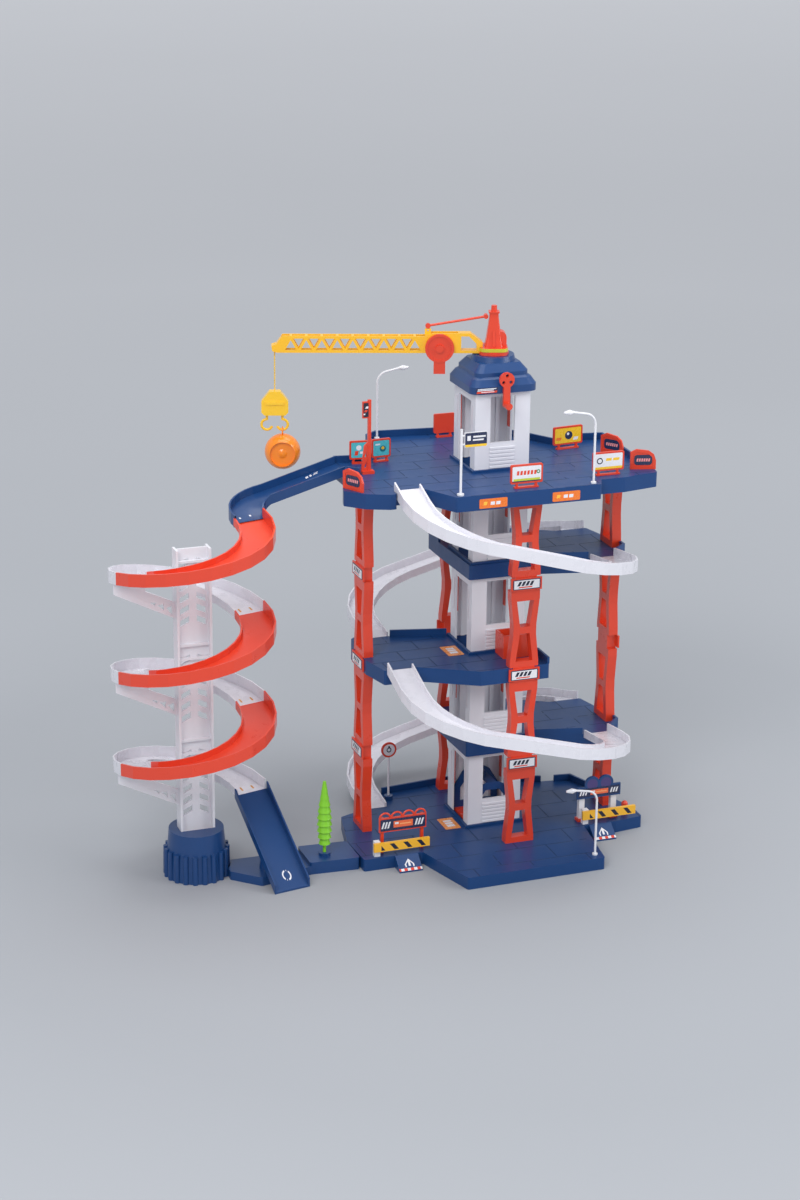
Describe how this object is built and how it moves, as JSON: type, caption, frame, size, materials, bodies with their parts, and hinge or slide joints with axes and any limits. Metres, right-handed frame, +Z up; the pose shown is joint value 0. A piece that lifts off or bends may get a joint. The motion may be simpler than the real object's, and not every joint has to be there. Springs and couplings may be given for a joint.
{
  "type": "toy parking garage",
  "caption": "Toy parking garage with a lift tower, hand crane, U-turn ramps between decks and a spiral track beside it.",
  "frame": {"origin": "on the floor, on the axis of the lift tower, at the underside of the ground plate", "axes": "+X to the right of the front view, +Y to the back, +Z up"},
  "size_m": [0.7244, 0.446, 0.7273],
  "materials": {
    "navy_plastic": "gloss",
    "red_plastic": "gloss",
    "white_plastic": "gloss",
    "yellow_plastic": "gloss",
    "orange_plastic": "gloss",
    "green_plastic": "satin",
    "cord": "matte"
  },
  "bodies": {
    "garage": {"base_plate": "navy_plastic", "entry_ramps": "navy_plastic", "link_arm": "navy_plastic", "spiral_foot": "navy_plastic", "spiral_mast_lower": "white_plastic", "spiral_mast_middle": "white_plastic", "spiral_mast_upper": "white_plastic", "track_brackets": "white_plastic", "orange_track_1": "red_plastic", "orange_track_2": "red_plastic", "orange_track_3": "red_plastic", "white_track_1": "white_plastic", "white_track_2": "white_plastic", "white_track_3": "white_plastic", "top_chute": "navy_plastic", "bottom_chute": "navy_plastic", "deck_2": "navy_plastic", "deck_3": "navy_plastic", "deck_4": "navy_plastic", "top_deck": "navy_plastic", "pillar_front": "red_plastic", "pillar_back": "red_plastic", "pillar_left": "red_plastic", "pillar_right": "red_plastic", "roof": "navy_plastic", "ramp_front_upper": "white_plastic", "ramp_front_lower": "white_plastic", "ramp_back_upper": "white_plastic", "ramp_back_lower": "white_plastic", "lift_guide_strips": "red_plastic", "street_lamps": "white_plastic", "billboards": "red_plastic", "edge_signs": "red_plastic", "tall_sign": "red_plastic", "round_sign": "red_plastic", "post_sign": "white_plastic", "gantry_left": "red_plastic", "gantry_right": "white_plastic", "bollard": "orange_plastic", "gate_posts": "white_plastic", "tree": "green_plastic", "parking_tray": "red_plastic", "tower_wall_1": "white_plastic", "tower_wall_2": "white_plastic", "tower_wall_3": "white_plastic", "tower_wall_4": "white_plastic", "tower_wall_5": "white_plastic"},
    "lift_car": {"lift_platform": "red_plastic", "lift_cage": "navy_plastic"},
    "lift_winch": {"lift_crank": "red_plastic", "lift_spool": "white_plastic"},
    "crane": {"crane_turret": "red_plastic", "crane_jib": "yellow_plastic", "stay_rod": "red_plastic", "hoist_cord": "cord"},
    "winch": {"winch_wheel": "red_plastic"},
    "hook": {"hook_block": "yellow_plastic"},
    "ball": {"wrecking_ball": "orange_plastic"},
    "gate_left": {"gate_arm_left": "yellow_plastic"},
    "gate_right": {"gate_arm_right": "yellow_plastic"}
  },
  "joints": [
    {"name": "lift_slide", "type": "slide", "parent": "garage", "child": "lift_car", "axis": [0, 0, 1], "range_m": [0, 0.5]},
    {"name": "lift_winch_turn", "type": "hinge", "parent": "garage", "child": "lift_winch", "pos_m": [0, -0.03, 0.64], "axis": [0, 1, 0], "range_deg": [-20, 3620]},
    {"name": "crane_slew", "type": "hinge", "parent": "garage", "child": "crane", "pos_m": [0, 0, 0.664], "axis": [0, 0, 1], "continuous": true},
    {"name": "hook_hoist", "type": "slide", "parent": "crane", "child": "hook", "axis": [0, 0, 1], "range_m": [-0.4, 0.03], "deforming": ["hoist_cord"]},
    {"name": "winch_turn", "type": "hinge", "parent": "crane", "child": "winch", "pos_m": [-0.06657, 0.02163, 0.6725], "axis": [0.309, 0.9511, 0], "range_deg": [-3840, 300]},
    {"name": "ball_swing", "type": "hinge", "parent": "hook", "child": "ball", "pos_m": [-0.25983, 0.08442, 0.5612], "axis": [0.309, 0.9511, 0], "range_deg": [-25, 25]},
    {"name": "gate_left_turn", "type": "hinge", "parent": "garage", "child": "gate_left", "pos_m": [-0.186, -0.088, 0.031], "axis": [0, -1, 0], "range_deg": [0, 85]},
    {"name": "gate_right_turn", "type": "hinge", "parent": "garage", "child": "gate_right", "pos_m": [0.118, -0.077, 0.031], "axis": [0, -1, 0], "range_deg": [0, 85]}
  ],
  "couplings": [
    {"joint": "lift_winch_turn", "follows": "lift_slide", "rad_per_m": 125},
    {"joint": "winch_turn", "follows": "hook_hoist", "rad_per_m": 166.67}
  ]
}
